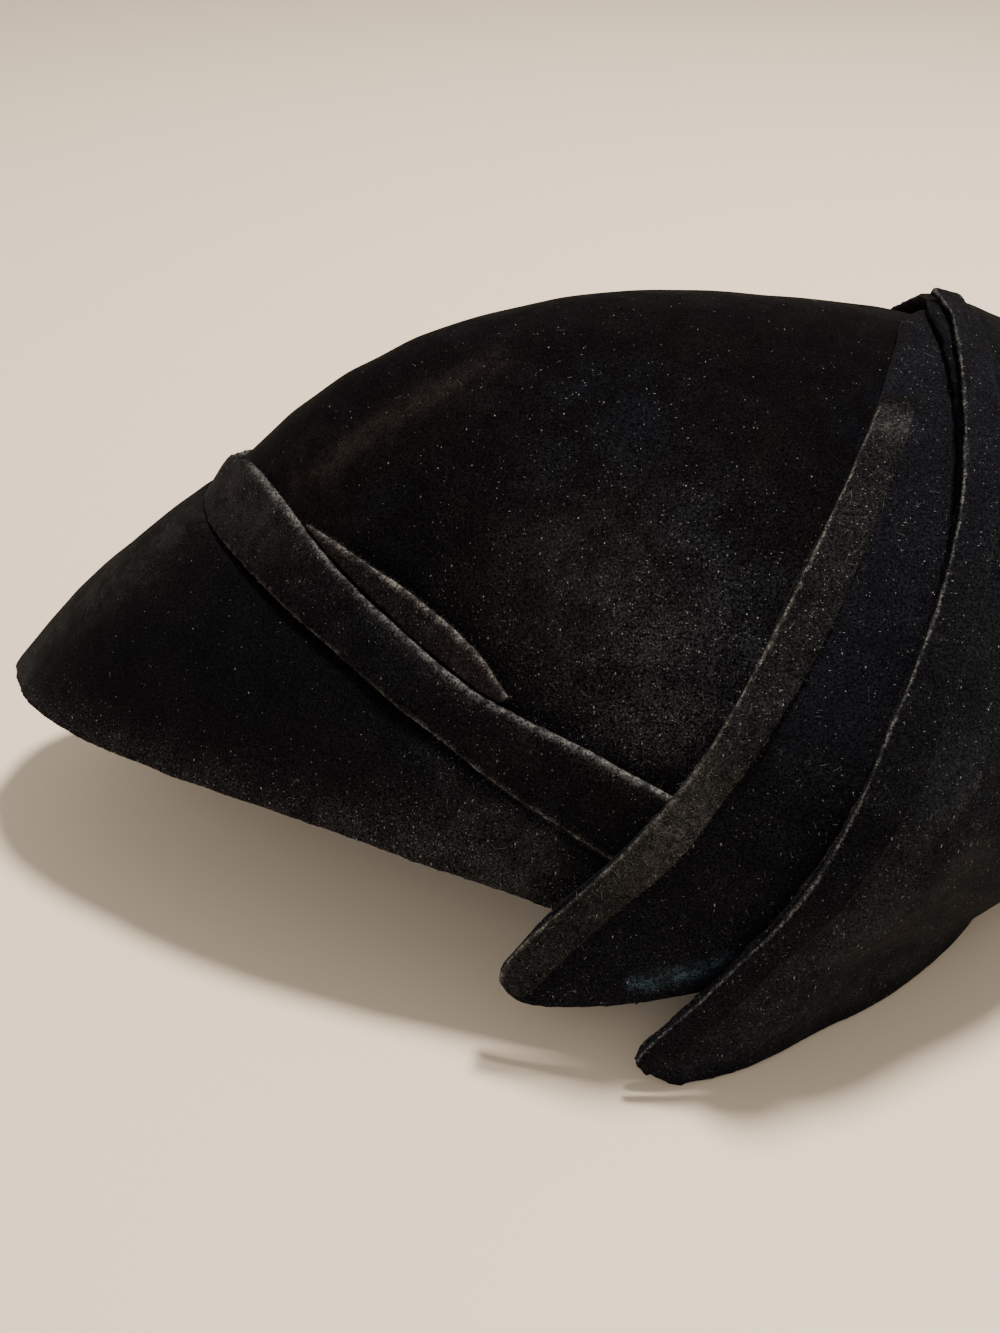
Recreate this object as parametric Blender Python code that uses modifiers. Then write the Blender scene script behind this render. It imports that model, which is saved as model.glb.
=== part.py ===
"""Velvet hat: a close crown, a drooping front brim, a band with a tuck, and two long wings that cross the crown."""

import math

import bpy
import numpy as np
from mathutils import Vector

MM = 0.001

# Ring where the crown meets the brim, in the hat's own frame: front along -X, up along +Z.
RING_FRONT = 104.5 * MM
RING_REAR = 80 * MM
RING_HALF_WIDTH = 76.5 * MM
RING_SHIFT = 8 * MM
FRONT_TAPER = 0.47
TAPER_POWER = 1.5

# Crown
CROWN_HEIGHT = 86 * MM
CROWN_LEAN_BACK = 32 * MM
CROWN_WALL = 2 * MM
CROWN_FULLNESS = 1.63
CROWN_FLATNESS = 2.9
REAR_ROUNDING = 1.3
REAR_RISE = 6 * MM
DENT_DEPTH = 1.5 * MM
DENT_REACH = 16 * MM
DENT_BACK = -4 * MM

# Brim
BRIM_WALL = 2 * MM
BRIM_DEPTH = 59 * MM
BRIM_FLANGE = 1.5 * MM

# Band and its tuck
BAND_WALL = 1.6 * MM
BAND_WIDTH = 15 * MM
TUCK_WALL = 1.2 * MM
TUCK_WIDTH = 5.5 * MM

# Wings and the turned-back cuffs along their front edges
WING_WALL = 2 * MM
CUFF_WALL = 1.3 * MM
CUFF_GAP = 0.55 * MM
WING_FLARE = 0.18
COVER_LENGTH = 15 * MM
SETTLE_LENGTH = 20 * MM
SETTLE_GAP = 1 * MM

# How the hat lies, and the small gaps between neighbours
PITCH = 24
RING_ABOVE_TABLE = 33 * MM
FIT_GAP = 0.35 * MM
CUTTER_SIZE = 0.4
NORMAL_STEP = 0.02

RING_LENGTH = RING_FRONT + RING_REAR
BAND_OUT = FIT_GAP + BAND_WALL
FRONT_WING_OUT = BAND_OUT + FIT_GAP + WING_WALL
REAR_WING_OUT = FRONT_WING_OUT + FIT_GAP + WING_WALL
SETTLED_OUT = SETTLE_GAP + WING_WALL

# Brim, by angle round the ring from its front. Droop is degrees below level.
BRIM_COLUMNS = ("turn", "depth", "droop")
BRIM = (
    (0, 1.04, 64),
    (10, 0.95, 64),
    (20, 0.84, 65.5),
    (30, 0.735, 66),
    (40, 0.61, 66),
    (50, 0.48, 67),
    (60, 0.37, 71),
    (67, 0.30, 77),
    (73, 0.255, 82),
    (80, 0.21, 84),
    (90, 0.175, 85),
    (98, 0.15, 85),
)

BRIM_FAR = (
    (0, 1.04, 64),
    (10, 1.0, 66),
    (20, 0.87, 71),
    (30, 0.75, 76),
    (40, 0.61, 76),
    (50, 0.48, 76),
    (60, 0.37, 77),
    (73, 0.255, 82),
    (80, 0.21, 84),
    (98, 0.15, 85),
)

# Band upper edge, by angle round the ring. Width is a share of BAND_WIDTH.
BAND_COLUMNS = ("turn", "width")
BAND = (
    (0, 0.6),
    (8, 0.85),
    (20, 0.92),
    (40, 0.78),
    (56, 0.74),
    (62, 0.86),
    (67, 0.97),
    (80, 1.1),
    (94, 1.1),
)

BAND_FAR = ((0, 0.6), (8, 0.42), (20, 0.36), (40, 0.4), (70, 0.5), (94, 0.6))

# Tuck above the band. Width is a share of TUCK_WIDTH.
TUCK_COLUMNS = ("turn", "width")
TUCK = ((28, 0.08), (33, 0.4), (39, 0.75), (46, 1.0), (52, 1.0), (56, 0.7), (58.5, 0.3))

# Wings. Turn is degrees from straight up, round the hat's long axis. Back is a share of the ring's length
# behind the frame's centre. The fold is the front edge and the tail is the edge behind it.
FRONT_WING_COLUMNS = ("share", "fold_turn", "fold_back", "tail_turn", "tail_back")
FRONT_WING = (
    (0.0, 112.4, -0.130, 113.3, -0.122),
    (0.03, 111.2, -0.135, 113.2, -0.106),
    (0.07, 108.5, -0.131, 111.9, -0.088),
    (0.13, 104.5, -0.126, 108.6, -0.052),
    (0.2, 98.8, -0.117, 104.0, -0.008),
    (0.27, 92.5, -0.103, 98.5, 0.042),
    (0.34, 85.5, -0.091, 91.0, 0.078),
    (0.42, 77.5, -0.079, 80.0, 0.089),
    (0.5, 69.0, -0.069, 69.5, 0.088),
    (0.6, 58.0, -0.058, 58.0, 0.086),
    (0.7, 47.0, -0.049, 47.0, 0.095),
    (0.8, 34.0, -0.025, 34.0, 0.103),
    (0.9, 17.0, 0.011, 17.0, 0.109),
    (0.95, 6.0, 0.036, 6.0, 0.115),
    (0.98, 0.0, 0.053, 0.0, 0.120),
    (1.0, -5.0, 0.086, -5.0, 0.128),
)
FRONT_CUFF_COLUMNS = ("share", "fold_turn", "fold_back", "tail_turn", "tail_back")
FRONT_CUFF = (
    (0.0, 111.8, -0.131, 112.3, -0.118),
    (0.05, 109.8, -0.133, 111.0, -0.104),
    (0.15, 105.0, -0.126, 106.0, -0.095),
    (0.3, 94.5, -0.106, 95.5, -0.075),
    (0.45, 83.0, -0.087, 84.0, -0.052),
    (0.6, 70.5, -0.071, 70.5, -0.038),
    (0.75, 55.0, -0.057, 55.0, -0.019),
    (0.88, 38.0, -0.034, 38.0, 0.003),
    (1.0, 19.0, 0.005, 19.0, 0.038),
)

# The rear wing's tail is its rim on the table. Rim turn is the angle round the ring from its front,
# and rim lift is the height above the table as a share of RING_ABOVE_TABLE.
REAR_WING_COLUMNS = ("share", "fold_turn", "fold_back", "rim_turn", "rim_lift")
REAR_WING = (
    (0.0, 110.8, 0.001, 86.6, 0.11),
    (0.03, 109.5, -0.003, 88.2, 0.03),
    (0.07, 107.0, 0.004, 91.0, -0.04),
    (0.14, 103.0, 0.013, 97.0, -0.045),
    (0.24, 95.5, 0.028, 106.0, -0.045),
    (0.38, 84.0, 0.041, 119.0, -0.045),
    (0.5, 74.0, 0.046, 131.0, -0.045),
    (0.6, 65.0, 0.048, 141.0, -0.045),
    (0.7, 54.0, 0.050, 151.0, -0.045),
    (0.8, 38.5, 0.062, 161.0, -0.045),
    (0.9, 20.0, 0.070, 170.5, -0.045),
    (1.0, 0.0, 0.072, 180.0, -0.045),
)
REAR_WING_FAR = (
    (0.0, 110.8, 0.001, 86.6, 0.11),
    (0.03, 109.5, -0.003, 88.2, 0.03),
    (0.07, 107.0, 0.004, 91.0, -0.04),
    (0.14, 103.0, 0.013, 97.0, -0.045),
    (0.24, 95.5, 0.026, 106.0, -0.045),
    (0.38, 83.0, 0.060, 119.0, -0.045),
    (0.5, 69.0, 0.115, 131.0, -0.045),
    (0.6, 57.0, 0.155, 141.0, -0.045),
    (0.7, 44.0, 0.175, 151.0, -0.045),
    (0.8, 30.0, 0.165, 161.0, -0.045),
    (0.9, 15.0, 0.125, 170.5, -0.045),
    (1.0, 0.0, 0.072, 180.0, -0.045),
)
REAR_CUFF_COLUMNS = ("share", "fold_turn", "fold_back", "tail_turn", "tail_back")
REAR_CUFF = (
    (0.0, 110.0, 0.000, 110.9, 0.016),
    (0.05, 107.5, 0.002, 108.8, 0.026),
    (0.2, 97.0, 0.024, 98.0, 0.053),
    (0.4, 80.0, 0.045, 80.5, 0.077),
    (0.6, 60.0, 0.047, 60.0, 0.086),
    (0.8, 34.0, 0.065, 34.0, 0.097),
    (0.9, 16.0, 0.073, 16.0, 0.107),
    (1.0, -4.0, 0.088, -4.0, 0.119),
)


# Tables
def column(columns, table, name):
    return [row[columns.index(name)] for row in table]


def smooth(knots, values, where):
    """Cubic curve through the table's values."""
    last = len(knots) - 1
    where = min(max(where, knots[0]), knots[last])
    i = 0
    while i < last - 1 and where > knots[i + 1]:
        i += 1

    def slope(j):
        a, b = max(j - 1, 0), min(j + 1, last)
        return (values[b] - values[a]) / (knots[b] - knots[a])

    step = knots[i + 1] - knots[i]
    u = (where - knots[i]) / step
    start = (1 + 2 * u) * (1 - u) ** 2 * values[i] + u * (1 - u) ** 2 * step * slope(i)
    end = u * u * (3 - 2 * u) * values[i + 1] + u * u * (u - 1) * step * slope(i + 1)
    return start + end


def read(columns, table, name, where):
    return smooth(column(columns, table, columns[0]), column(columns, table, name), where)


# Form of the head part
def ring_point(turn):
    """Point of the ring at this angle from its front, on the -Y side up to 180."""
    c, s = math.cos(math.radians(turn)), math.sin(math.radians(turn))
    if c >= 0:
        return RING_SHIFT - RING_FRONT * c, -RING_HALF_WIDTH * s * (1 - FRONT_TAPER * c**TAPER_POWER)
    return RING_SHIFT - RING_REAR * c, -RING_HALF_WIDTH * s


def half_width(x):
    u = x - RING_SHIFT
    c = -u / RING_FRONT if u < 0 else u / RING_REAR
    if c >= 1:
        return -MM
    narrowing = 1 - FRONT_TAPER * c**TAPER_POWER if u < 0 else 1
    return RING_HALF_WIDTH * math.sqrt(1 - c * c) * narrowing


def crown_scale(z):
    """How much of the ring's size the crown still has at this height."""
    share = min(max(z / CROWN_HEIGHT, 0), 1)
    return (1 - share**CROWN_FLATNESS) ** (1 / CROWN_FULLNESS)


def section(z):
    """Scale to the front and sides, scale to the rear, and lean back, of the skin at this height."""
    if z < 0:
        scale = 1 - z * WING_FLARE / RING_HALF_WIDTH
        return scale, scale, 0.0
    scale = max(crown_scale(z), 1e-6)
    return scale, scale**REAR_ROUNDING, CROWN_LEAN_BACK * z / CROWN_HEIGHT


def on_skin(x, y, z):
    """The ring's point x, y carried up or down the skin to this height."""
    scale, rear, lean = section(z)
    u = x - RING_SHIFT
    return Vector((RING_SHIFT + u * (rear if u > 0 else scale) + lean, y * scale, z))


def outside(x, y, z):
    if z >= CROWN_HEIGHT:
        return True
    scale, rear, lean = section(z)
    u = x - RING_SHIFT - lean
    u /= rear if u > 0 else scale
    return abs(y) / scale > half_width(RING_SHIFT + u)


def skin(start, way):
    """Where a line that leaves the head part at this start comes out of its skin."""
    near, far = 0.0, 0.2
    for _ in range(30):
        middle = (near + far) / 2
        point = start + way * middle
        if outside(point.x, point.y, point.z):
            far = middle
        else:
            near = middle
    return start + way * near


def skin_at(turn, back):
    a = math.radians(turn)
    x = back * RING_LENGTH
    return skin(Vector((x, 0, 0)), Vector((0, -math.sin(a), math.cos(a))))


def rim_point(turn, lift):
    """Point of the flared skin at this angle round the ring and this height above the table."""
    x, y = ring_point(turn)
    target = lift * RING_ABOVE_TABLE
    tilt = math.radians(PITCH)
    point = Vector((x, y, 0))
    for _ in range(5):
        z = (target - RING_ABOVE_TABLE + point.x * math.sin(tilt)) / math.cos(tilt)
        point = on_skin(x, y, z)
    return point


HEAD_CENTRE = Vector((RING_SHIFT, 0, 0))


def between(first, last, count):
    """Points along the skin from first to last, as seen from the head's centre."""
    a, b = (first - HEAD_CENTRE).normalized(), (last - HEAD_CENTRE).normalized()
    angle = a.angle(b)
    line = []
    for i in range(count + 1):
        u = i / count
        way = (a * math.sin((1 - u) * angle) + b * math.sin(u * angle)) / math.sin(angle)
        line.append(skin(HEAD_CENTRE, way.normalized()))
    return line


def mirrored(point):
    return Vector((point.x, -point.y, point.z))


def crown_point(turn, share):
    """Share runs from the crown's lower edge, 0, to its top, 1."""
    x, y = ring_point(turn) if turn <= 180 else mirrored_ring(turn)
    low = REAR_RISE * max(0, (x - RING_SHIFT) / RING_REAR) ** 2
    a = share * math.pi / 2
    z = low + (CROWN_HEIGHT - low) * math.sin(a) ** (2 / CROWN_FLATNESS)
    point = on_skin(x, y, z)
    away = (Vector((point.x, point.y)) - Vector((DENT_BACK + CROWN_LEAN_BACK, 0))).length
    point.z -= DENT_DEPTH * math.exp(-((away / DENT_REACH) ** 2)) * share
    return point


def mirrored_ring(turn):
    x, y = ring_point(360 - turn)
    return x, -y


# Surfaces
def skin_normal(point):
    """Outward normal of the skin where the line from the head's centre through this point leaves it."""
    way = (point - HEAD_CENTRE).normalized()
    side = way.orthogonal().normalized()
    other = way.cross(side)
    around = [skin(HEAD_CENTRE, (way + NORMAL_STEP * step).normalized()) for step in (side, -side, other, -other)]
    normal = (around[0] - around[1]).cross(around[2] - around[3]).normalized()
    return normal if normal.dot(way) > 0 else -normal


def raised(rows, offset):
    """The grid moved out from the skin. Offset is a number, or a function of row and column."""
    grid = []
    for i, row in enumerate(rows):
        heights = [offset(i, j) if callable(offset) else offset for j in range(len(row))]
        grid.append([tuple(point + skin_normal(point) * height) for point, height in zip(row, heights)])
    return np.array(grid)


def to_table(points):
    """From the hat's own frame to the way it lies."""
    a = math.radians(PITCH)
    x, y, z = points[..., 0], points[..., 1], points[..., 2]
    return np.stack(
        [x * math.cos(a) + z * math.sin(a), y, z * math.cos(a) - x * math.sin(a) + RING_ABOVE_TABLE],
        axis=-1,
    )


def sheet(name, grid, wall, colour, closed=False, apex=None, even=False):
    """One cloth piece: an open surface through the grid, thickened inward."""
    rows, columns = grid.shape[:2]
    points = [tuple(p) for p in to_table(grid).reshape(-1, 3)]
    faces = []
    for i in range(rows - 1):
        for j in range(columns if closed else columns - 1):
            k = (j + 1) % columns
            faces.append((i * columns + j, i * columns + k, (i + 1) * columns + k, (i + 1) * columns + j))
    if apex is not None:
        points.append(tuple(to_table(np.array(tuple(apex)))))
        top = (rows - 1) * columns
        for j in range(columns):
            faces.append((top + j, top + (j + 1) % columns, len(points) - 1))
    mesh = bpy.data.meshes.new(name)
    mesh.from_pydata(points, [], faces)
    mesh.validate()
    centre = Vector(tuple(to_table(np.array(tuple(HEAD_CENTRE)))))
    facing = sum((p.center - centre).dot(p.normal) * p.area for p in mesh.polygons)
    if facing < 0:
        mesh.flip_normals()
    material = bpy.data.materials.new(name + "_velvet")
    material.use_nodes = True
    shader = material.node_tree.nodes["Principled BSDF"]
    shader.inputs["Base Color"].default_value = (*colour, 1)
    shader.inputs["Roughness"].default_value = 0.9
    shader.inputs["Sheen Weight"].default_value = 0.6
    mesh.materials.append(material)
    obj = bpy.data.objects.new(name, mesh)
    hat.objects.link(obj)
    solid = obj.modifiers.new("cloth", "SOLIDIFY")
    solid.thickness = wall
    solid.offset = -1
    solid.use_even_offset = even
    solid.use_quality_normals = True
    return obj


def both_sides(near, far=None):
    """Rows for the -Y side, joined across the middle to the mirror image of themselves or of the far rows."""
    return [a + [mirrored(p) for p in b[-2::-1]] for a, b in zip(near, far or near)]


def wing_rows(columns, table, count, across):
    """Half a wing, as rows from its fold to its tail, each from the tip to the middle."""
    grid = []
    for j in range(count + 1):
        share = j / count
        fold = skin_at(read(columns, table, "fold_turn", share), read(columns, table, "fold_back", share))
        if "rim_turn" in columns:
            tail = rim_point(read(columns, table, "rim_turn", share), read(columns, table, "rim_lift", share))
        else:
            tail = skin_at(read(columns, table, "tail_turn", share), read(columns, table, "tail_back", share))
        grid.append(between(fold, tail, across))
    return [list(row) for row in zip(*grid)]


def build_crown():
    steps, rows = 56, 13
    grid = [[crown_point(360 * j / steps, i / rows) for j in range(steps)] for i in range(rows)]
    grid = np.array([[tuple(p) for p in row] for row in grid])
    apex = crown_point(0, 1)
    return sheet("crown", grid, CROWN_WALL, (0.012, 0.011, 0.012), closed=True, apex=apex)


def brim_section(table, turn):
    """Points from the flange under the crown's edge, out and down to the brim's edge."""
    def ring_normal(a):
        ahead, behind = Vector(ring_point(a + 0.5)), Vector(ring_point(a - 0.5))
        way = (ahead - behind).normalized()
        normal = Vector((way.y, -way.x))
        return normal if normal.dot(Vector(ring_point(a)) - Vector((RING_SHIFT, 0))) > 0 else -normal

    x, y = ring_point(turn)
    normal = Vector((-1, 0)) if turn == 0 else ring_normal(turn)
    depth = BRIM_DEPTH * read(BRIM_COLUMNS, table, "depth", turn)
    droop = math.radians(read(BRIM_COLUMNS, table, "droop", turn))
    root = Vector((x, y, -2 * FIT_GAP))
    out = Vector((normal.x, normal.y, 0))
    line = [root - out * BRIM_FLANGE, root + out * BAND_OUT * 0.75]
    steps = 6
    for i in range(1, steps + 1):
        u = i / steps
        angle = droop - math.radians(8) * (1 - 2 * u)
        last = line[-1]
        line.append(last + (out * math.cos(angle) - Vector((0, 0, 1)) * math.sin(angle)) * depth / steps)
    return line


def build_brim():
    steps = 30
    last = BRIM[-1][0]
    halves = []
    for table in (BRIM, BRIM_FAR):
        columns = [brim_section(table, last * (1 - j / steps)) for j in range(steps + 1)]
        halves.append([list(row) for row in zip(*columns)])
    grid = np.array([[tuple(p) for p in row] for row in both_sides(*halves)])
    return sheet("brim", grid, BRIM_WALL, (0.011, 0.010, 0.012), even=True)


def band_rows(columns, table, low, high, count, across):
    """Rows round the ring from the side to the front, between two heights above the ring."""
    turns = [table[-1][0] + (table[0][0] - table[-1][0]) * j / count for j in range(count + 1)]
    grid = []
    for turn in turns:
        x, y = ring_point(turn)
        line = []
        for i in range(across + 1):
            line.append(on_skin(x, y, low(turn) + (high(turn) - low(turn)) * i / across))
        grid.append(line)
    return [list(row) for row in zip(*grid)]


def band_top(turn):
    return BAND_WIDTH * read(BAND_COLUMNS, BAND, "width", turn)


def build_band():
    def far_top(turn):
        return BAND_WIDTH * read(BAND_COLUMNS, BAND_FAR, "width", turn)

    near = band_rows(BAND_COLUMNS, BAND, lambda turn: 0.0, band_top, 30, 3)
    far = band_rows(BAND_COLUMNS, BAND_FAR, lambda turn: 0.0, far_top, 30, 3)
    grid = raised(both_sides(near, far), BAND_OUT)
    return sheet("band", grid, BAND_WALL, (0.014, 0.013, 0.014))


def build_tuck():
    def low(turn):
        return band_top(turn) + FIT_GAP

    def high(turn):
        return low(turn) + TUCK_WIDTH * read(TUCK_COLUMNS, TUCK, "width", turn)

    rows = band_rows(TUCK_COLUMNS, TUCK, low, high, 16, 2)
    grid = raised(rows, FIT_GAP + TUCK_WALL)
    return sheet("band_tuck", grid, TUCK_WALL, (0.020, 0.012, 0.010))


def over_band(rows, out):
    """Stand-off of a layer that lies this far out over the band, and closer where the band is well below it."""
    def offset(i, j):
        u = min(1.0, max(0.0, (rows[i][j].z - 2 * BAND_WIDTH) / BAND_WIDTH))
        return out - BAND_OUT * u * u * (3 - 2 * u)

    return offset


def build_front_wing():
    rows = wing_rows(FRONT_WING_COLUMNS, FRONT_WING, 36, 4)
    grid = raised(rows, over_band(rows, FRONT_WING_OUT))
    return sheet("front_wing", grid, WING_WALL, (0.011, 0.010, 0.012))


def build_rear_wing():
    """The wing stands out where it passes over the front wing, then settles on the crown."""
    across = 12
    near = wing_rows(REAR_WING_COLUMNS, REAR_WING, 28, across)
    far = wing_rows(REAR_WING_COLUMNS, REAR_WING_FAR, 28, across)
    rows = both_sides(near, far)

    covering = over_band(rows, REAR_WING_OUT)

    def offset(i, j):
        u = min(1.0, max(0.0, (rows[i][j] - rows[0][j]).length - COVER_LENGTH) / SETTLE_LENGTH)
        out = covering(i, j)
        return out + (SETTLED_OUT - out) * u * u * (3 - 2 * u)

    return sheet("rear_wing", raised(rows, offset), WING_WALL, (0.012, 0.012, 0.013))


def build_cuff(name, columns, table, out, colour):
    rows = wing_rows(columns, table, 28, 2)
    sheet(name, raised(rows, over_band(rows, out + CUFF_GAP + CUFF_WALL)), CUFF_WALL, colour)


def cut_at_table(obj):
    """The wing's rim ends in a flat face on the table."""
    mesh = bpy.data.meshes.new("table_cutter")
    s = CUTTER_SIZE / 2
    points = [(x, y, z) for z in (-s, 0) for x, y in ((-s, -s), (s, -s), (s, s), (-s, s))]
    faces = [(3, 2, 1, 0), (4, 5, 6, 7), (0, 1, 5, 4), (1, 2, 6, 5), (2, 3, 7, 6), (3, 0, 4, 7)]
    mesh.from_pydata(points, [], faces)
    cutter = bpy.data.objects.new("table_cutter", mesh)
    cutter.hide_render = True
    cutter.display_type = "WIRE"
    guides.objects.link(cutter)
    cut = obj.modifiers.new("rest", "BOOLEAN")
    cut.operation = "DIFFERENCE"
    cut.solver = "EXACT"
    cut.object = cutter


def centre_on_table():
    """Moves everything so that the box's bottom centre is the origin."""
    bpy.context.view_layer.update()
    graph = bpy.context.evaluated_depsgraph_get()
    low, high = Vector((1, 1, 1)), Vector((-1, -1, -1))
    for obj in hat.objects:
        mesh = obj.evaluated_get(graph).to_mesh()
        for vertex in mesh.vertices:
            for axis in range(3):
                low[axis] = min(low[axis], vertex.co[axis])
                high[axis] = max(high[axis], vertex.co[axis])
    shift = Vector((-(low.x + high.x) / 2, -(low.y + high.y) / 2, -low.z))
    for obj in list(hat.objects) + list(guides.objects):
        obj.location = shift


for old in list(bpy.data.objects):
    bpy.data.objects.remove(old)
hat = bpy.data.collections.new("velvet_hat")
guides = bpy.data.collections.new("guides")
guides.hide_render = True
bpy.context.scene.collection.children.link(hat)
bpy.context.scene.collection.children.link(guides)

build_crown()
build_brim()
build_band()
build_tuck()
build_front_wing()
cut_at_table(build_rear_wing())
build_cuff("front_cuff", FRONT_CUFF_COLUMNS, FRONT_CUFF, FRONT_WING_OUT, (0.016, 0.015, 0.012))
build_cuff("rear_cuff", REAR_CUFF_COLUMNS, REAR_CUFF, REAR_WING_OUT, (0.011, 0.011, 0.013))
centre_on_table()
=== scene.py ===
"""Black velvet hat on a pale table: crown, drooping front brim, band with a tuck, and two long wings."""

import math

import bmesh
import bpy
import numpy as np
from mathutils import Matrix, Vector


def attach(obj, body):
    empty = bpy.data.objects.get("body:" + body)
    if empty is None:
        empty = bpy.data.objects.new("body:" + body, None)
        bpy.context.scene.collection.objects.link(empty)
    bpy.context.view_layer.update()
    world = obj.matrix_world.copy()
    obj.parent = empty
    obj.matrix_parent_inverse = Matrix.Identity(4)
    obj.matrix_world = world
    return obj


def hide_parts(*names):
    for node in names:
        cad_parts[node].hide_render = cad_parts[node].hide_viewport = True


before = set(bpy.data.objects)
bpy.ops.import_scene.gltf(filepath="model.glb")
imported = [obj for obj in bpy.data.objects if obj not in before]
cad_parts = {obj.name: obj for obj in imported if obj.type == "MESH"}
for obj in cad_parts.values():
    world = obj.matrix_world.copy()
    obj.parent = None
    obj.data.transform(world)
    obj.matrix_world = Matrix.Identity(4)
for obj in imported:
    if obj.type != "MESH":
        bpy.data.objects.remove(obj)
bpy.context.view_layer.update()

# Camera
# The photograph looks down at the hat's near side, a little from its front,
# with the brim's tip at the picture's left edge and the back out of the picture.
CAMERA_PLACE = Vector((-0.02849, -0.2084, 0.1904))
CAMERA_WAY = Vector((0.0412, 0.7869, -0.6157))
photo_camera = bpy.data.objects.new("photo_camera", bpy.data.cameras.new("photo_camera"))
bpy.context.scene.collection.objects.link(photo_camera)
photo_camera.location = CAMERA_PLACE
photo_camera.rotation_mode = "QUATERNION"
photo_camera.rotation_quaternion = CAMERA_WAY.to_track_quat("-Z", "Y")
photo_camera.data.sensor_width = 36
photo_camera.data.lens = 32.41
photo_camera.data.clip_start = 0.01
photo_camera.data.clip_end = 20
bpy.context.scene.camera = photo_camera

# Crown
# A close cap of black silk velvet, stretched and steamed over a block. Its pile is rubbed brown in random
# patches and brushed in a few places, a painted brown sheen lies along its ridge on top and towards the
# front, and lint clings to it low on the near side.
HAT_PITCH = math.radians(24)
RING_ABOVE_TABLE = 0.033
HAT_SHIFT = np.array((0.0137, 0.00048, 0.0))
RING_SHIFT = 0.008


def hat_frame(points):
    """Points in the hat's own frame: front along -X, up along +Z, the near side towards -Y."""
    x, y, z = (points - HAT_SHIFT).T
    z = z - RING_ABOVE_TABLE
    c, s = math.cos(HAT_PITCH), math.sin(HAT_PITCH)
    return np.stack([x * c - z * s, y, x * s + z * c], axis=1)


def vertex_points(mesh):
    flat = np.empty(len(mesh.vertices) * 3)
    mesh.vertices.foreach_get("co", flat)
    return flat.reshape(-1, 3)


def set_mask(piece, name, values):
    """A value at each vertex, which the piece's material reads by name."""
    mask = piece.data.attributes.new(name, "FLOAT", "POINT")
    mask.data.foreach_set("value", np.clip(values, 0, 1).astype(np.float32))


def cut_cloth(node, name, grain, evenness, rumple, rumple_size, softness=8):
    """A fine closed skin over a frame's solid, with rounded edges and soft rumples."""
    work = bmesh.new()
    work.from_mesh(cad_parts[node].data)
    bmesh.ops.remove_doubles(work, verts=work.verts, dist=1e-6)
    mesh = bpy.data.meshes.new(name)
    work.to_mesh(mesh)
    work.free()
    piece = bpy.data.objects.new(name, mesh)
    bpy.context.scene.collection.objects.link(piece)
    fine = piece.modifiers.new("fine", "REMESH")
    fine.mode = "VOXEL"
    fine.voxel_size = grain
    soft = piece.modifiers.new("soft", "SMOOTH")
    soft.factor = 0.5
    soft.iterations = softness
    even = piece.modifiers.new("even", "LAPLACIANSMOOTH")
    even.iterations = 1
    even.lambda_factor = evenness
    even.lambda_border = 0
    even.use_volume_preserve = True
    even.use_normalized = True
    for share, size in ((1.0, rumple_size), (0.2, rumple_size * 0.4)):
        texture = bpy.data.textures.new(name + "_rumple", "CLOUDS")
        texture.noise_scale = size
        texture.noise_depth = 1
        wave = piece.modifiers.new("rumple", "DISPLACE")
        wave.texture = texture
        wave.texture_coords = "LOCAL"
        wave.strength = rumple * share
        wave.mid_level = 0.5
    graph = bpy.context.evaluated_depsgraph_get()
    finished = bpy.data.meshes.new_from_object(piece.evaluated_get(graph))
    piece.modifiers.clear()
    piece.data = finished
    finished.name = name
    for face in finished.polygons:
        face.use_smooth = True
    return piece


def group_of(name, sockets_in, sockets_out):
    """An empty shader group with these sockets, and its two ends."""
    group = bpy.data.node_groups.new(name, "ShaderNodeTree")
    for socket, kind, value in sockets_in:
        made = group.interface.new_socket(socket, in_out="INPUT", socket_type=kind)
        if value is not None:
            made.default_value = value
    for socket, kind in sockets_out:
        group.interface.new_socket(socket, in_out="OUTPUT", socket_type=kind)
    return group, group.nodes.new("NodeGroupInput"), group.nodes.new("NodeGroupOutput")


def wire(tree, start, end):
    tree.links.new(start, end)


def noise_of(tree, vector, scale, detail, roughness=0.5):
    made = tree.nodes.new("ShaderNodeTexNoise")
    made.inputs["Scale"].default_value = scale
    made.inputs["Detail"].default_value = detail
    made.inputs["Roughness"].default_value = roughness
    wire(tree, vector, made.inputs["Vector"])
    return made.outputs["Fac"]


def step_of(tree, value, low, high):
    """0 below low, 1 above high, and smooth between."""
    made = tree.nodes.new("ShaderNodeMapRange")
    made.interpolation_type = "SMOOTHSTEP"
    made.inputs["From Min"].default_value = low
    made.inputs["From Max"].default_value = high
    wire(tree, value, made.inputs["Value"])
    return made.outputs["Result"]


def maths(tree, operation, first, second, third=0.0):
    made = tree.nodes.new("ShaderNodeMath")
    made.operation = operation
    for socket, value in zip(made.inputs, (first, second, third)):
        if isinstance(value, (int, float)):
            socket.default_value = value
        else:
            wire(tree, value, socket)
    return made.outputs[0]


def blend_of(tree, factor, first, second):
    made = tree.nodes.new("ShaderNodeMix")
    made.data_type = "RGBA"
    for socket, value in ((made.inputs[0], factor), (made.inputs[6], first), (made.inputs[7], second)):
        if isinstance(value, (int, float, tuple)):
            socket.default_value = value
        else:
            wire(tree, value, socket)
    return made.outputs[2]
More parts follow.
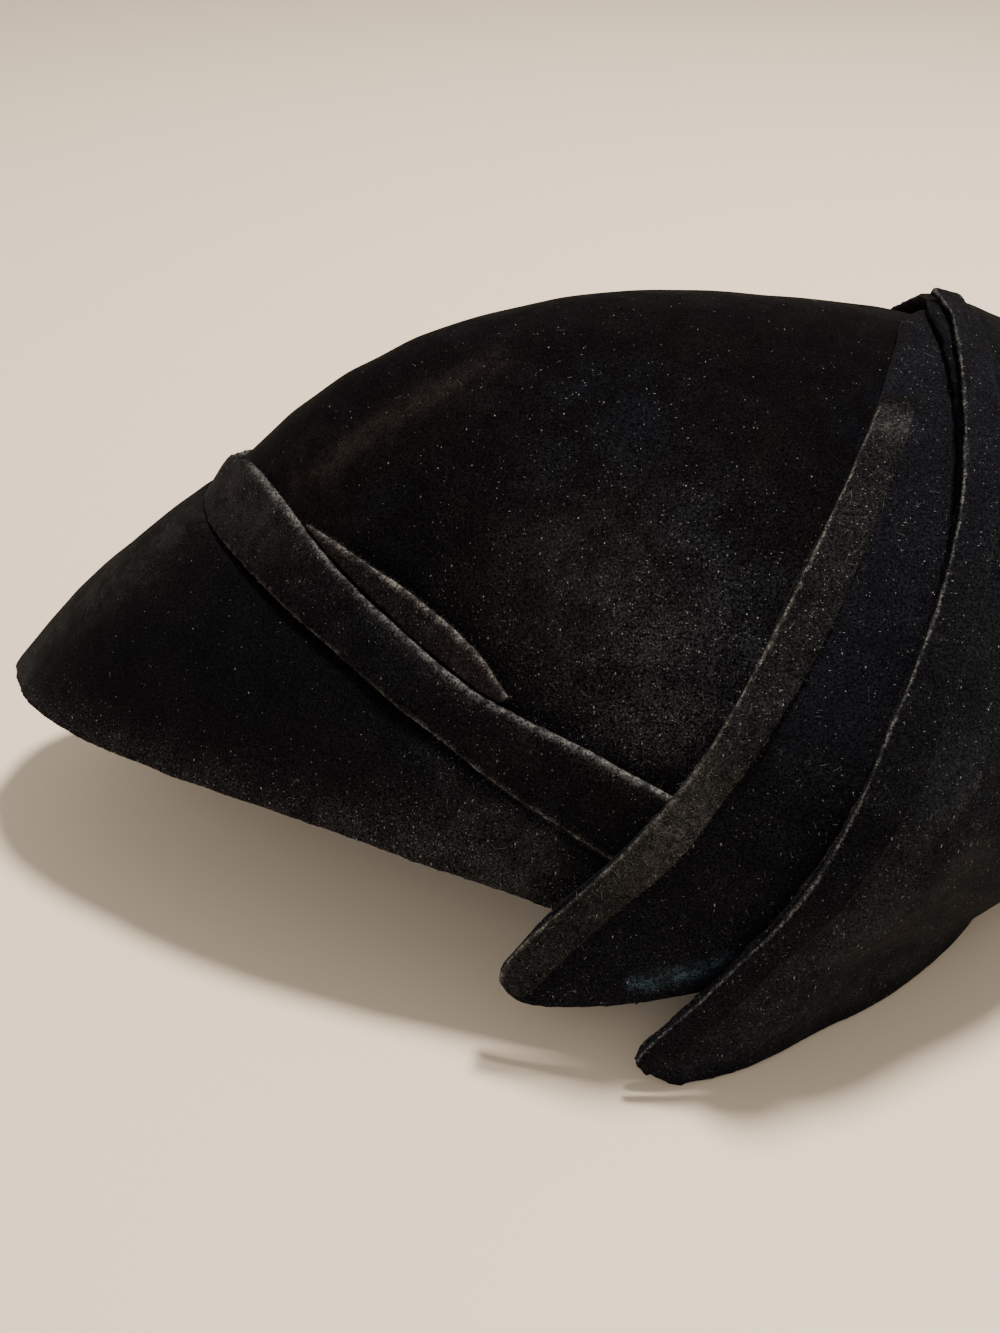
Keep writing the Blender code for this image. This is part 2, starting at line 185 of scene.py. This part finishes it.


# The pile group gives the velvet's colour seen square on, a painted sheen colour for a grazing angle, and
# its relief.
# Lint is short fibres that lie in two directions and gather in clusters.
pile, pile_in, pile_out = group_of(
    "velvet_pile",
    (
        ("Vector", "NodeSocketVector", None),
        ("Deep", "NodeSocketColor", (0.002, 0.0018, 0.0026, 1)),
        ("Rubbed", "NodeSocketColor", (0.012, 0.009, 0.008, 1)),
        ("Cool", "NodeSocketColor", (0.004, 0.006, 0.010, 1)),
        ("Rubbing", "NodeSocketFloat", 0.5),
        ("Lint", "NodeSocketFloat", 0.3),
        ("Worn And Highlight", "NodeSocketFloat", 0.0),
        ("Worn And Highlight Colour", "NodeSocketColor", (0.16, 0.15, 0.14, 1)),
        ("Brushed And Sheen", "NodeSocketFloat", 0.0),
        ("Brushed And Sheen Colour", "NodeSocketColor", (0.02, 0.017, 0.015, 1)),
    ),
    (("Colour", "NodeSocketColor"), ("Painted Sheen", "NodeSocketColor"), ("Height", "NodeSocketFloat")),
)
place = pile_in.outputs["Vector"]
broad = noise_of(pile, place, 28, 3)
middle = noise_of(pile, place, 140, 4, 0.6)
crushed = noise_of(pile, place, 420, 3, 0.65)
fine_nap = noise_of(pile, place, 2600, 2, 0.7)
rubbed = maths(pile, "MULTIPLY", step_of(pile, broad, 0.46, 0.68), pile_in.outputs["Rubbing"])
cool = maths(pile, "MULTIPLY", step_of(pile, broad, 0.56, 0.34), step_of(pile, middle, 0.4, 0.65))
colour = blend_of(pile, cool, pile_in.outputs["Deep"], pile_in.outputs["Cool"])
colour = blend_of(pile, rubbed, colour, pile_in.outputs["Rubbed"])
half_middle = maths(pile, "MULTIPLY", middle, 0.5)
mottle = step_of(pile, maths(pile, "MULTIPLY_ADD", crushed, 0.5, half_middle), 0.4, 0.62)
uneven = maths(pile, "MULTIPLY_ADD", mottle, 0.75, 0.25)
# Brushed pile and painted sheen, where the brushed mask is high.
brushed_and_sheen = maths(pile, "MULTIPLY", pile_in.outputs["Brushed And Sheen"], uneven)
colour = blend_of(pile, brushed_and_sheen, colour, pile_in.outputs["Brushed And Sheen Colour"])
streak = maths(pile, "MULTIPLY", mottle, step_of(pile, fine_nap, 0.35, 0.75))
colour = blend_of(pile, maths(pile, "MULTIPLY", streak, 0.3), colour, pile_in.outputs["Rubbed"])
# Worn pile at folds and edges, which also serves as a painted highlight.
broken = maths(pile, "MULTIPLY", step_of(pile, crushed, 0.4, 0.58), step_of(pile, fine_nap, 0.32, 0.66))
broken = maths(pile, "MULTIPLY_ADD", broken, 0.9, 0.1)
broken = maths(pile, "MULTIPLY", broken, maths(pile, "POWER", pile_in.outputs["Worn And Highlight"], 1.6))
colour = blend_of(pile, broken, colour, pile_in.outputs["Worn And Highlight Colour"])


def fibres_of(tree, vector, turn, spread, density, seed):
    """Short pale fibres: stretched Voronoi cells, some of them chosen, each with its own strength."""
    lay = tree.nodes.new("ShaderNodeMapping")
    lay.inputs["Rotation"].default_value = turn
    lay.inputs["Location"].default_value = (seed, seed * 0.7, seed * 0.3)
    lay.inputs["Scale"].default_value = spread
    wire(tree, vector, lay.inputs["Vector"])
    cells = tree.nodes.new("ShaderNodeTexVoronoi")
    cells.inputs["Scale"].default_value = 1.0
    wire(tree, lay.outputs["Vector"], cells.inputs["Vector"])
    fibre = step_of(tree, cells.outputs["Distance"], 0.21, 0.07)
    pick = tree.nodes.new("ShaderNodeSeparateColor")
    wire(tree, cells.outputs["Color"], pick.inputs[0])
    fibre = maths(tree, "MULTIPLY", fibre, maths(tree, "LESS_THAN", pick.outputs[0], density))
    strength = maths(tree, "POWER", pick.outputs[1], 2.4)
    return maths(tree, "MULTIPLY", fibre, strength)


cluster = maths(pile, "MULTIPLY_ADD", step_of(pile, middle, 0.36, 0.64), 0.5, 0.5)
density = maths(pile, "MULTIPLY", cluster, pile_in.outputs["Lint"])
haze = maths(pile, "MULTIPLY", density, step_of(pile, fine_nap, 0.3, 0.7))
colour = blend_of(pile, haze, colour, (0.025, 0.025, 0.0275, 1))
lint = fibres_of(pile, place, (0.3, 0.5, 0.4), (2300, 2300, 800), density, 3.1)
for turn, spread, seed in (
    ((1.2, 0.2, 1.9), (2100, 700, 2100), 7.7),
    ((0.4, 1.1, 0.8), (760, 2400, 2400), 1.3),
    ((0.9, 0.6, 2.6), (1300, 1300, 380), 5.9),
):
    lint = maths(pile, "MAXIMUM", lint, fibres_of(pile, place, turn, spread, density, seed))
grain = blend_of(pile, step_of(pile, fine_nap, 0.36, 0.64), (0.48, 0.48, 0.48, 1), (1.25, 1.25, 1.25, 1))
colour = blend_of(pile, 1.0, colour, grain)
colour.node.blend_type = "MULTIPLY"
colour = blend_of(pile, lint, colour, (0.22, 0.22, 0.225, 1))
wire(pile, colour, pile_out.inputs["Colour"])
# The colour at a grazing angle is a painted sheen.
lit = blend_of(pile, mottle, (0.0022, 0.0020, 0.0022, 1), (0.0070, 0.0060, 0.0057, 1))
wire(pile, lit, pile_out.inputs["Painted Sheen"])
relief = maths(pile, "ADD", maths(pile, "MULTIPLY", crushed, 0.6), maths(pile, "MULTIPLY", fine_nap, 0.4))
wire(pile, relief, pile_out.inputs["Height"])


PALE_GROUND = (0.16, 0.15, 0.14)


def velvet(name, deep, rubbed, cool, rubbing, lint, brushed_and_sheen_colour, worn_and_highlight_colour=PALE_GROUND):
    """Black velvet: dark seen square on, turning to a painted sheen colour at a grazing angle, and paler
    where it is brushed or worn and where painted sheen and painted highlights lie.
    """
    material = bpy.data.materials.new(name)
    material.use_nodes = True
    tree = material.node_tree
    shader = tree.nodes["Principled BSDF"]
    coordinates = tree.nodes.new("ShaderNodeTexCoord")
    nap = tree.nodes.new("ShaderNodeGroup")
    nap.node_tree = pile
    wire(tree, coordinates.outputs["Object"], nap.inputs["Vector"])
    colours = (
        ("Deep", deep),
        ("Rubbed", rubbed),
        ("Cool", cool),
        ("Worn And Highlight Colour", worn_and_highlight_colour),
        ("Brushed And Sheen Colour", brushed_and_sheen_colour),
    )
    for socket, value in colours:
        nap.inputs[socket].default_value = (*value, 1)
    nap.inputs["Rubbing"].default_value = rubbing
    for mask, socket in (("worn_and_highlight", "Worn And Highlight"), ("brushed_and_sheen", "Brushed And Sheen")):
        reader = tree.nodes.new("ShaderNodeAttribute")
        reader.attribute_name = mask
        wire(tree, reader.outputs["Fac"], nap.inputs[socket])
    linty = tree.nodes.new("ShaderNodeAttribute")
    linty.attribute_name = "linty"
    amount = maths(tree, "MULTIPLY_ADD", linty.outputs["Fac"], 0.9, lint)
    wire(tree, amount, nap.inputs["Lint"])
    # Towards a grazing angle the base colour turns to the painted sheen colour.
    facing = tree.nodes.new("ShaderNodeLayerWeight")
    facing.inputs["Blend"].default_value = 0.4
    edge = maths(tree, "POWER", facing.outputs["Facing"], 2.4)
    seen = blend_of(tree, edge, nap.outputs["Colour"], nap.outputs["Painted Sheen"])
    wire(tree, seen, shader.inputs["Base Color"])
    bump = tree.nodes.new("ShaderNodeBump")
    bump.inputs["Strength"].default_value = 0.7
    bump.inputs["Distance"].default_value = 0.0003
    wire(tree, nap.outputs["Height"], bump.inputs["Height"])
    wire(tree, bump.outputs["Normal"], shader.inputs["Normal"])
    shader.inputs["Roughness"].default_value = 0.95
    shader.inputs["Specular IOR Level"].default_value = 0.01
    shader.inputs["Sheen Weight"].default_value = 0.022
    shader.inputs["Sheen Roughness"].default_value = 0.4
    shader.inputs["Sheen Tint"].default_value = (0.8, 0.76, 0.74, 1)
    return material


def finish_cloth(piece, node, material):
    """The piece takes its material, stands for its solid and rides with the hat."""
    piece.data.materials.clear()
    piece.data.materials.append(material)
    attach(piece, "root")
    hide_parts(node)


def near(points, place, reach):
    """1 at this place in the hat's frame, fading to 0 at this reach."""
    away = np.linalg.norm(points - np.array(place), axis=1)
    return np.exp(-((away / reach) ** 2))


def along(points, line, reach):
    """1 on this line of places in the hat's frame, fading to 0 at this reach."""
    nearest = np.full(len(points), 1.0)
    line = np.array(line)
    for a, b in zip(line[:-1], line[1:]):
        share = np.clip(((points - a) @ (b - a)) / ((b - a) @ (b - a)), 0, 1)
        nearest = np.minimum(nearest, np.linalg.norm(points - a - share[:, None] * (b - a), axis=1))
    return np.exp(-((nearest / reach) ** 2))


CROWN_RIDGE = (
    (-0.083, -0.015, 0.018),
    (-0.074, -0.015, 0.0325),
    (-0.064, -0.013, 0.0446),
    (-0.059, -0.011, 0.050),
)
crown = cut_cloth("crown", "crown_cloth", 0.00118, 6.0, 0.0011, 0.03)
at = hat_frame(vertex_points(crown.data))
# The brushed mask here is mostly a painted brown sheen along the crown's ridge and at its front, with
# brushed patches beside it.
brushed_and_sheen = 0.6 * along(at, CROWN_RIDGE, 0.003) + 0.3 * near(at, (-0.085, -0.02, 0.02), 0.014)
brushed_and_sheen = brushed_and_sheen + 0.45 * near(at, (-0.0373, -0.0447, 0.0375), 0.013)
brushed_and_sheen = brushed_and_sheen + 0.1 * near(at, (-0.056, -0.018, 0.048), 0.012)
set_mask(crown, "brushed_and_sheen", brushed_and_sheen)
linty = 0.95 * near(at, (-0.016, -0.062, 0.027), 0.023) + 0.25 * near(at, (-0.037, -0.045, 0.038), 0.03)
set_mask(crown, "linty", linty)
crown_velvet = velvet(
    "crown_velvet",
    deep=(0.0022, 0.0018, 0.0024),
    rubbed=(0.0060, 0.0044, 0.0040),
    cool=(0.0026, 0.0029, 0.0050),
    rubbing=0.4,
    lint=0.05,
    brushed_and_sheen_colour=(0.021, 0.0165, 0.0142),
)
finish_cloth(crown, "crown", crown_velvet)

# Brim
# One layer of velvet sewn under the crown's edge. It droops steeply over the forehead
# and runs out to nothing at the sides. A painted sheen lies pale along its crest and lower edge, and the
# thin pale line at the edge is worn pile and a painted highlight.
brim = cut_cloth("brim", "brim_cloth", 0.0008, 5.0, 0.0008, 0.022, 14)
at = hat_frame(vertex_points(brim.data))


SECTORS = 240


def sector_of(points):
    """Number of the narrow sector round the hat that each point lies in."""
    turn = np.arctan2(-points[:, 1], RING_SHIFT - points[:, 0])
    return ((turn + math.pi) / (2 * math.pi) * SECTORS).astype(int) % SECTORS


def above_edge(points):
    """Height of each point above the piece's lowest point in the same sector."""
    index = sector_of(points)
    lowest = np.full(SECTORS, 1.0)
    np.minimum.at(lowest, index, points[:, 2])
    return points[:, 2] - lowest[index]


BRIM_CREST = (
    (-0.0995, -0.005, -0.0044),
    (-0.1074, -0.007, -0.0188),
    (-0.117, -0.0036, -0.038),
    (-0.121, -0.006, -0.050),
)
rise = above_edge(at)
# Painted sheen along the brim's crest and in a strip just above its lower edge, with a brushed patch near
# the wing.
brushed_and_sheen = 0.85 * along(at, BRIM_CREST, 0.007) + 0.3 * np.exp(-((rise / 0.0045) ** 2))
set_mask(brim, "brushed_and_sheen", brushed_and_sheen + 0.5 * near(at, (-0.030, -0.0655, -0.006), 0.012))
set_mask(brim, "worn_and_highlight", 0.5 * np.exp(-((rise / 0.0012) ** 2)))
fringe = 0.9 * np.exp(-((rise / 0.007) ** 2))
set_mask(brim, "linty", fringe + 0.7 * near(at, (-0.034, -0.065, -0.008), 0.018))
brim_velvet = velvet(
    "brim_velvet",
    deep=(0.0030, 0.0028, 0.0035),
    rubbed=(0.0052, 0.0050, 0.0051),
    cool=(0.0028, 0.0041, 0.0050),
    rubbing=0.4,
    lint=0.06,
    worn_and_highlight_colour=(0.06, 0.058, 0.052),
    brushed_and_sheen_colour=(0.0210, 0.0198, 0.0189),
)
finish_cloth(brim, "brim", brim_velvet)

# Band and its tuck
# A folded strip of velvet sewn round the crown's foot. Above it a second strip is tucked in
# and stands up at its lower end, where the crushed pile is reddish.
band = cut_cloth("band", "band_cloth", 0.0006, 3.0, 0.0006, 0.012)
at = hat_frame(vertex_points(band.data))


def below_edge(points):
    """Depth of each point below the piece's highest point in the same sector."""
    index = sector_of(points)
    highest = np.full(SECTORS, -1.0)
    np.maximum.at(highest, index, points[:, 2])
    return highest[index] - points[:, 2]


drop = below_edge(at)
rise = above_edge(at)
# At the front the band's lower edge is drawn down onto the brim.
BAND_SINK = 0.0022
BAND_FRONT = ((-0.095, -0.006, 0.007), (-0.088, -0.016, 0.008))
sink = BAND_SINK * near(at, (-0.092, 0.006, 0.004), 0.022) * np.exp(-((rise / 0.004) ** 2))
sunk = vertex_points(band.data) - np.outer(sink, (0, 0, 1))
band.data.vertices.foreach_set("co", sunk.ravel())
band.data.update()
# Thin pale lines at the band's lower and upper edges: worn pile, brightened as a painted highlight.
set_mask(band, "worn_and_highlight", np.exp(-((drop / 0.0009) ** 2)) + 0.9 * np.exp(-((rise / 0.0009) ** 2)))
set_mask(band, "brushed_and_sheen", 0.9 * along(at, BAND_FRONT, 0.009) + 0.06)
set_mask(band, "linty", 0.7 * np.exp(-((drop / 0.0025) ** 2)) + 0.1)
band_velvet = velvet(
    "band_velvet",
    deep=(0.0030, 0.0028, 0.0038),
    rubbed=(0.0068, 0.0060, 0.0061),
    cool=(0.0034, 0.0039, 0.0059),
    rubbing=0.5,
    lint=0.1,
    worn_and_highlight_colour=(0.20, 0.195, 0.19),
    brushed_and_sheen_colour=(0.0240, 0.0214, 0.0212),
)
finish_cloth(band, "band", band_velvet)

tuck = cut_cloth("band_tuck", "tuck_cloth", 0.00035, 2.0, 0.0005, 0.006)
at = hat_frame(vertex_points(tuck.data))
drop = below_edge(at)
# Thin pale line at the tuck's lower edge: worn pile, brightened as a painted highlight.
set_mask(tuck, "worn_and_highlight", 0.95 * np.exp(-((drop / 0.0009) ** 2)))
set_mask(tuck, "brushed_and_sheen", 0.05 + 0.6 * near(at, (-0.047, -0.052, 0.0125), 0.012))
set_mask(tuck, "linty", np.full(len(at), 0.25))
tuck_velvet = velvet(
    "tuck_velvet",
    deep=(0.0040, 0.0034, 0.0040),
    rubbed=(0.0120, 0.0091, 0.0088),
    cool=(0.0050, 0.0045, 0.0054),
    rubbing=0.9,
    lint=0.2,
    worn_and_highlight_colour=(0.22, 0.205, 0.19),
    brushed_and_sheen_colour=(0.0280, 0.0198, 0.0189),
)
finish_cloth(tuck, "band_tuck", tuck_velvet)

# Wings
# Two long pieces of velvet cross the crown from its top and end in blunt points low on the near side.
# The front one ends under the rear one, which wraps the back and rests on the table.
front_wing = cut_cloth("front_wing", "front_wing_cloth", 0.0006, 5.0, 0.0007, 0.02, 14)
at = hat_frame(vertex_points(front_wing.data))
# A painted bluish sheen runs low along the front wing's near side, through its brushed and worn masks.
WING_SHEEN = ((0.006, -0.083, -0.004), (0.0, -0.082, -0.011), (-0.006, -0.082, -0.016))
brushed_and_sheen = 0.9 * along(at, WING_SHEEN, 0.0020)
set_mask(front_wing, "brushed_and_sheen", brushed_and_sheen)
set_mask(front_wing, "worn_and_highlight", 0.9 * brushed_and_sheen)
set_mask(front_wing, "linty", 0.2 * brushed_and_sheen + 0.15)
wing_velvet = velvet(
    "wing_velvet",
    deep=(0.0042, 0.0041, 0.0062),
    rubbed=(0.0058, 0.0056, 0.0075),
    cool=(0.0040, 0.0047, 0.0084),
    rubbing=0.3,
    lint=0.1,
    worn_and_highlight_colour=(0.060, 0.115, 0.150),
    brushed_and_sheen_colour=(0.0085, 0.0139, 0.0197),
)
finish_cloth(front_wing, "front_wing", wing_velvet)

rear_wing = cut_cloth("rear_wing", "rear_wing_cloth", 0.00094, 8.0, 0.0006, 0.03, 18)
at = hat_frame(vertex_points(rear_wing.data))
# A painted grey sheen lies on the rear wing's side below about 62 mm, with strokes on the near side. It
# is left off within about 4 mm of the table, so the rim there stays dark as painted shade.
table_height = vertex_points(rear_wing.data)[:, 2]
low = np.exp(-((table_height / 0.0040) ** 2))
side = 1 / (1 + np.exp(-(0.062 - table_height) / 0.008))
near_side = (at[:, 1] < -0.05) * 1.0
flat = at * (1, 0, 1)
strokes = along(flat, ((0.0105, 0, 0.034), (0.0140, 0, 0.047)), 0.0012)
strokes = strokes + along(flat, ((0.0220, 0, 0.034), (0.0262, 0, 0.044)), 0.0015)
strokes = near_side * (strokes + 0.6 * along(flat, ((0.0215, 0, 0.000), (0.0262, 0, 0.010)), 0.0013))
brushed_and_sheen = 0.75 * side * (1 - low) + 0.5 * near(at, (0.024, -0.078, 0.038), 0.014) + strokes
set_mask(rear_wing, "brushed_and_sheen", brushed_and_sheen)
set_mask(rear_wing, "worn_and_highlight", 0.32 * strokes)
set_mask(rear_wing, "linty", 0.45 * side * (1 - low) + 0.05)
rear_wing_velvet = velvet(
    "rear_wing_velvet",
    deep=(0.0032, 0.0035, 0.0052),
    rubbed=(0.0074, 0.0082, 0.0104),
    cool=(0.0042, 0.0053, 0.0079),
    rubbing=0.6,
    lint=0.12,
    brushed_and_sheen_colour=(0.0125, 0.0145, 0.0185),
)
finish_cloth(rear_wing, "rear_wing", rear_wing_velvet)

# Cuffs
# Each wing's front edge is turned back on itself in a narrow cuff. The fold is a crisp pale line, worn
# where the pile parts and the pale ground shows and brightened as a painted highlight, and the front
# cuff's pile is crushed to olive brown.
def edge_lines(piece):
    """Two masks: the rounded edge of a cuff's outer face along its fold, and the one along its tail."""
    points = vertex_points(piece.data)
    normals = np.empty(len(points) * 3)
    piece.data.vertices.foreach_get("normal", normals)
    placed = hat_frame(points)
    facing = hat_frame(points + normals.reshape(-1, 3)) - placed
    outward = placed * (0, 1, 1)
    outward = (facing * outward).sum(axis=1) / np.linalg.norm(outward, axis=1)
    outer = np.clip((outward + 0.1) / 0.4, 0, 1)
    return [outer * np.clip((lean - 0.45) / 0.3, 0, 1) for lean in (-facing[:, 0], facing[:, 0])]


front_cuff = cut_cloth("front_cuff", "front_cuff_cloth", 0.00045, 3.0, 0.0005, 0.008)
at = hat_frame(vertex_points(front_cuff.data))
fold, tail = edge_lines(front_cuff)
bare = near(at, (0.0017, -0.031, 0.0757), 0.005)
below_top = np.clip((np.degrees(np.arctan2(-at[:, 1], at[:, 2])) - 19.5) / 5, 0, 1)
frosted = near(at, (-0.0145, -0.075, 0.014), 0.012)
# The fold and tail lines are worn pile, brightened as a painted highlight.
edges = fold + 0.85 * tail
set_mask(front_cuff, "worn_and_highlight", below_top * (edges + 0.5 * bare + 0.45 * frosted))
crushed = 0.12 + 0.75 * along(at, ((-0.017, -0.077, 0.004), (-0.014, -0.073, 0.024)), 0.012)
crushed = crushed + 0.4 * near(at, (-0.024, -0.0786, -0.024), 0.012) + 0.5 * bare
set_mask(front_cuff, "brushed_and_sheen", below_top**3 * crushed)
set_mask(front_cuff, "linty", below_top * (0.35 + 0.6 * frosted))
cuff_velvet = velvet(
    "cuff_velvet",
    deep=(0.0036, 0.0034, 0.0037),
    rubbed=(0.0100, 0.0092, 0.0088),
    cool=(0.0046, 0.0048, 0.0060),
    rubbing=0.55,
    lint=0.2,
    worn_and_highlight_colour=(0.20, 0.190, 0.17),
    brushed_and_sheen_colour=(0.0240, 0.0225, 0.0213),
)
finish_cloth(front_cuff, "front_cuff", cuff_velvet)

rear_cuff = cut_cloth("rear_cuff", "rear_cuff_cloth", 0.00045, 3.0, 0.0005, 0.01)
at = hat_frame(vertex_points(rear_cuff.data))
fold, tail = edge_lines(rear_cuff)
# The fold and tail lines are worn pile, brightened as a painted highlight.
set_mask(rear_cuff, "worn_and_highlight", fold + 0.6 * tail)
set_mask(rear_cuff, "brushed_and_sheen", 0.5 * tail)
set_mask(rear_cuff, "linty", 0.4 * fold + 0.15)
rear_cuff_velvet = velvet(
    "rear_cuff_velvet",
    deep=(0.0044, 0.0043, 0.0062),
    rubbed=(0.0062, 0.0061, 0.0078),
    cool=(0.0042, 0.0049, 0.0082),
    rubbing=0.4,
    lint=0.12,
    worn_and_highlight_colour=(0.19, 0.185, 0.185),
    brushed_and_sheen_colour=(0.0140, 0.0158, 0.0190),
)
finish_cloth(rear_cuff, "rear_cuff", rear_cuff_velvet)

# Loose fibres
# Stray ends of pile and pale lint stand off the velvet, thickest along the brim's lower edge
# and the folds, and lie scattered over the near side.
lot = np.random.default_rng(11)


def loose_fibres(name, sources, count, length, lift, thickness, colour):
    """Fine curved hairs rooted in the velvet where the named mask is high."""
    roots, ways = [], []
    share = count // len(sources)
    for piece, mask in sources:
        points = vertex_points(piece.data)
        normals = np.empty(len(points) * 3)
        piece.data.vertices.foreach_get("normal", normals)
        values = np.empty(len(points), np.float32)
        piece.data.attributes[mask].data.foreach_get("value", values)
        chance = values.astype(float) ** 2 + 0.01
        chosen = lot.choice(len(points), share, replace=False, p=chance / chance.sum())
        roots.append(points[chosen])
        ways.append(normals.reshape(-1, 3)[chosen])
    hairs = bpy.data.curves.new(name, "CURVE")
    hairs.dimensions = "3D"
    hairs.bevel_depth = thickness
    hairs.bevel_resolution = 0
    for root, way in zip(np.concatenate(roots), np.concatenate(ways)):
        side = np.cross(way, lot.normal(size=3))
        side = side / (np.linalg.norm(side) + 1e-9)
        reach = length * lot.uniform(0.5, 1.3)
        spline = hairs.splines.new("POLY")
        spline.points.add(2)
        for point, share_along in zip(spline.points, (0.0, 0.5, 1.0)):
            bend = share_along * share_along
            place = root + reach * (way * lift * share_along + side * (1 - lift) * bend + way * 0.0001)
            point.co = (*place, 1)
            point.radius = 1 - 0.6 * share_along
    shape = bpy.data.objects.new(name, hairs)
    bpy.context.scene.collection.objects.link(shape)
    graph = bpy.context.evaluated_depsgraph_get()
    mesh = bpy.data.meshes.new_from_object(shape.evaluated_get(graph))
    bpy.data.objects.remove(shape)
    made = bpy.data.objects.new(name, mesh)
    bpy.context.scene.collection.objects.link(made)
    material = bpy.data.materials.new(name + "_hair")
    material.use_nodes = True
    tree = material.node_tree
    shader = tree.nodes["Principled BSDF"]
    coordinates = tree.nodes.new("ShaderNodeTexCoord")
    spread = noise_of(tree, coordinates.outputs["Object"], 900, 1)
    darker = tuple(0.45 * value for value in colour)
    wire(tree, blend_of(tree, spread, (*darker, 1), (*colour, 1)), shader.inputs["Base Color"])
    shader.inputs["Roughness"].default_value = 0.7
    made.data.materials.clear()
    made.data.materials.append(material)
    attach(made, "root")
    return made


EDGES = [(piece, "worn_and_highlight") for piece in (brim, band, front_cuff, rear_cuff, tuck)]
BODIES = [(piece, "linty") for piece in (crown, brim, front_wing, rear_wing, front_cuff)]
edge_pile = loose_fibres(
    "edge_pile",
    EDGES,
    count=2500,
    length=0.0007,
    lift=0.75,
    thickness=0.00002,
    colour=(0.04, 0.037, 0.035),
)
lint_fibres = loose_fibres(
    "lint_fibres",
    BODIES,
    count=800,
    length=0.0015,
    lift=0.12,
    thickness=0.000024,
    colour=(0.20, 0.20, 0.20),
)

# Table and light
# A plain pale table. A warm lamp hangs high behind the hat on its right, so that the shadow
# falls towards the front and left, and a weak cool light fills from the near side.
work = bmesh.new()
bmesh.ops.create_grid(work, x_segments=1, y_segments=1, size=3)
floor_mesh = bpy.data.meshes.new("table_top")
work.to_mesh(floor_mesh)
work.free()
table_top = bpy.data.objects.new("table_top", floor_mesh)
bpy.context.scene.collection.objects.link(table_top)
table_paint = bpy.data.materials.new("table_paint")
table_paint.use_nodes = True
table_paint.node_tree.nodes["Principled BSDF"].inputs["Base Color"].default_value = (0.83, 0.695, 0.54, 1)
table_paint.node_tree.nodes["Principled BSDF"].inputs["Roughness"].default_value = 0.6
table_top.data.materials.append(table_paint)


def studio_light(name, place, aim, size, power, colour):
    light = bpy.data.lights.new(name, "AREA")
    light.shape = "DISK"
    light.size = size
    light.energy = power
    light.color = colour
    lamp = bpy.data.objects.new(name, light)
    bpy.context.scene.collection.objects.link(lamp)
    lamp.location = place
    lamp.rotation_mode = "QUATERNION"
    lamp.rotation_quaternion = (Vector(aim) - Vector(place)).to_track_quat("-Z", "Y")
    return lamp


studio_light("window_light", (0.32, 0.24, 1.2), (0, 0, 0.04), 0.2, 30, (1.0, 0.93, 0.83))
studio_light("near_fill", (-0.7, -1.0, 1.1), (0, 0, 0.04), 1.2, 4, (0.95, 0.97, 1.0))
world = bpy.data.worlds.new("room")
world.use_nodes = True
world.node_tree.nodes["Background"].inputs["Color"].default_value = (1.0, 0.92, 0.81, 1)
world.node_tree.nodes["Background"].inputs["Strength"].default_value = 0.55
bpy.context.scene.world = world
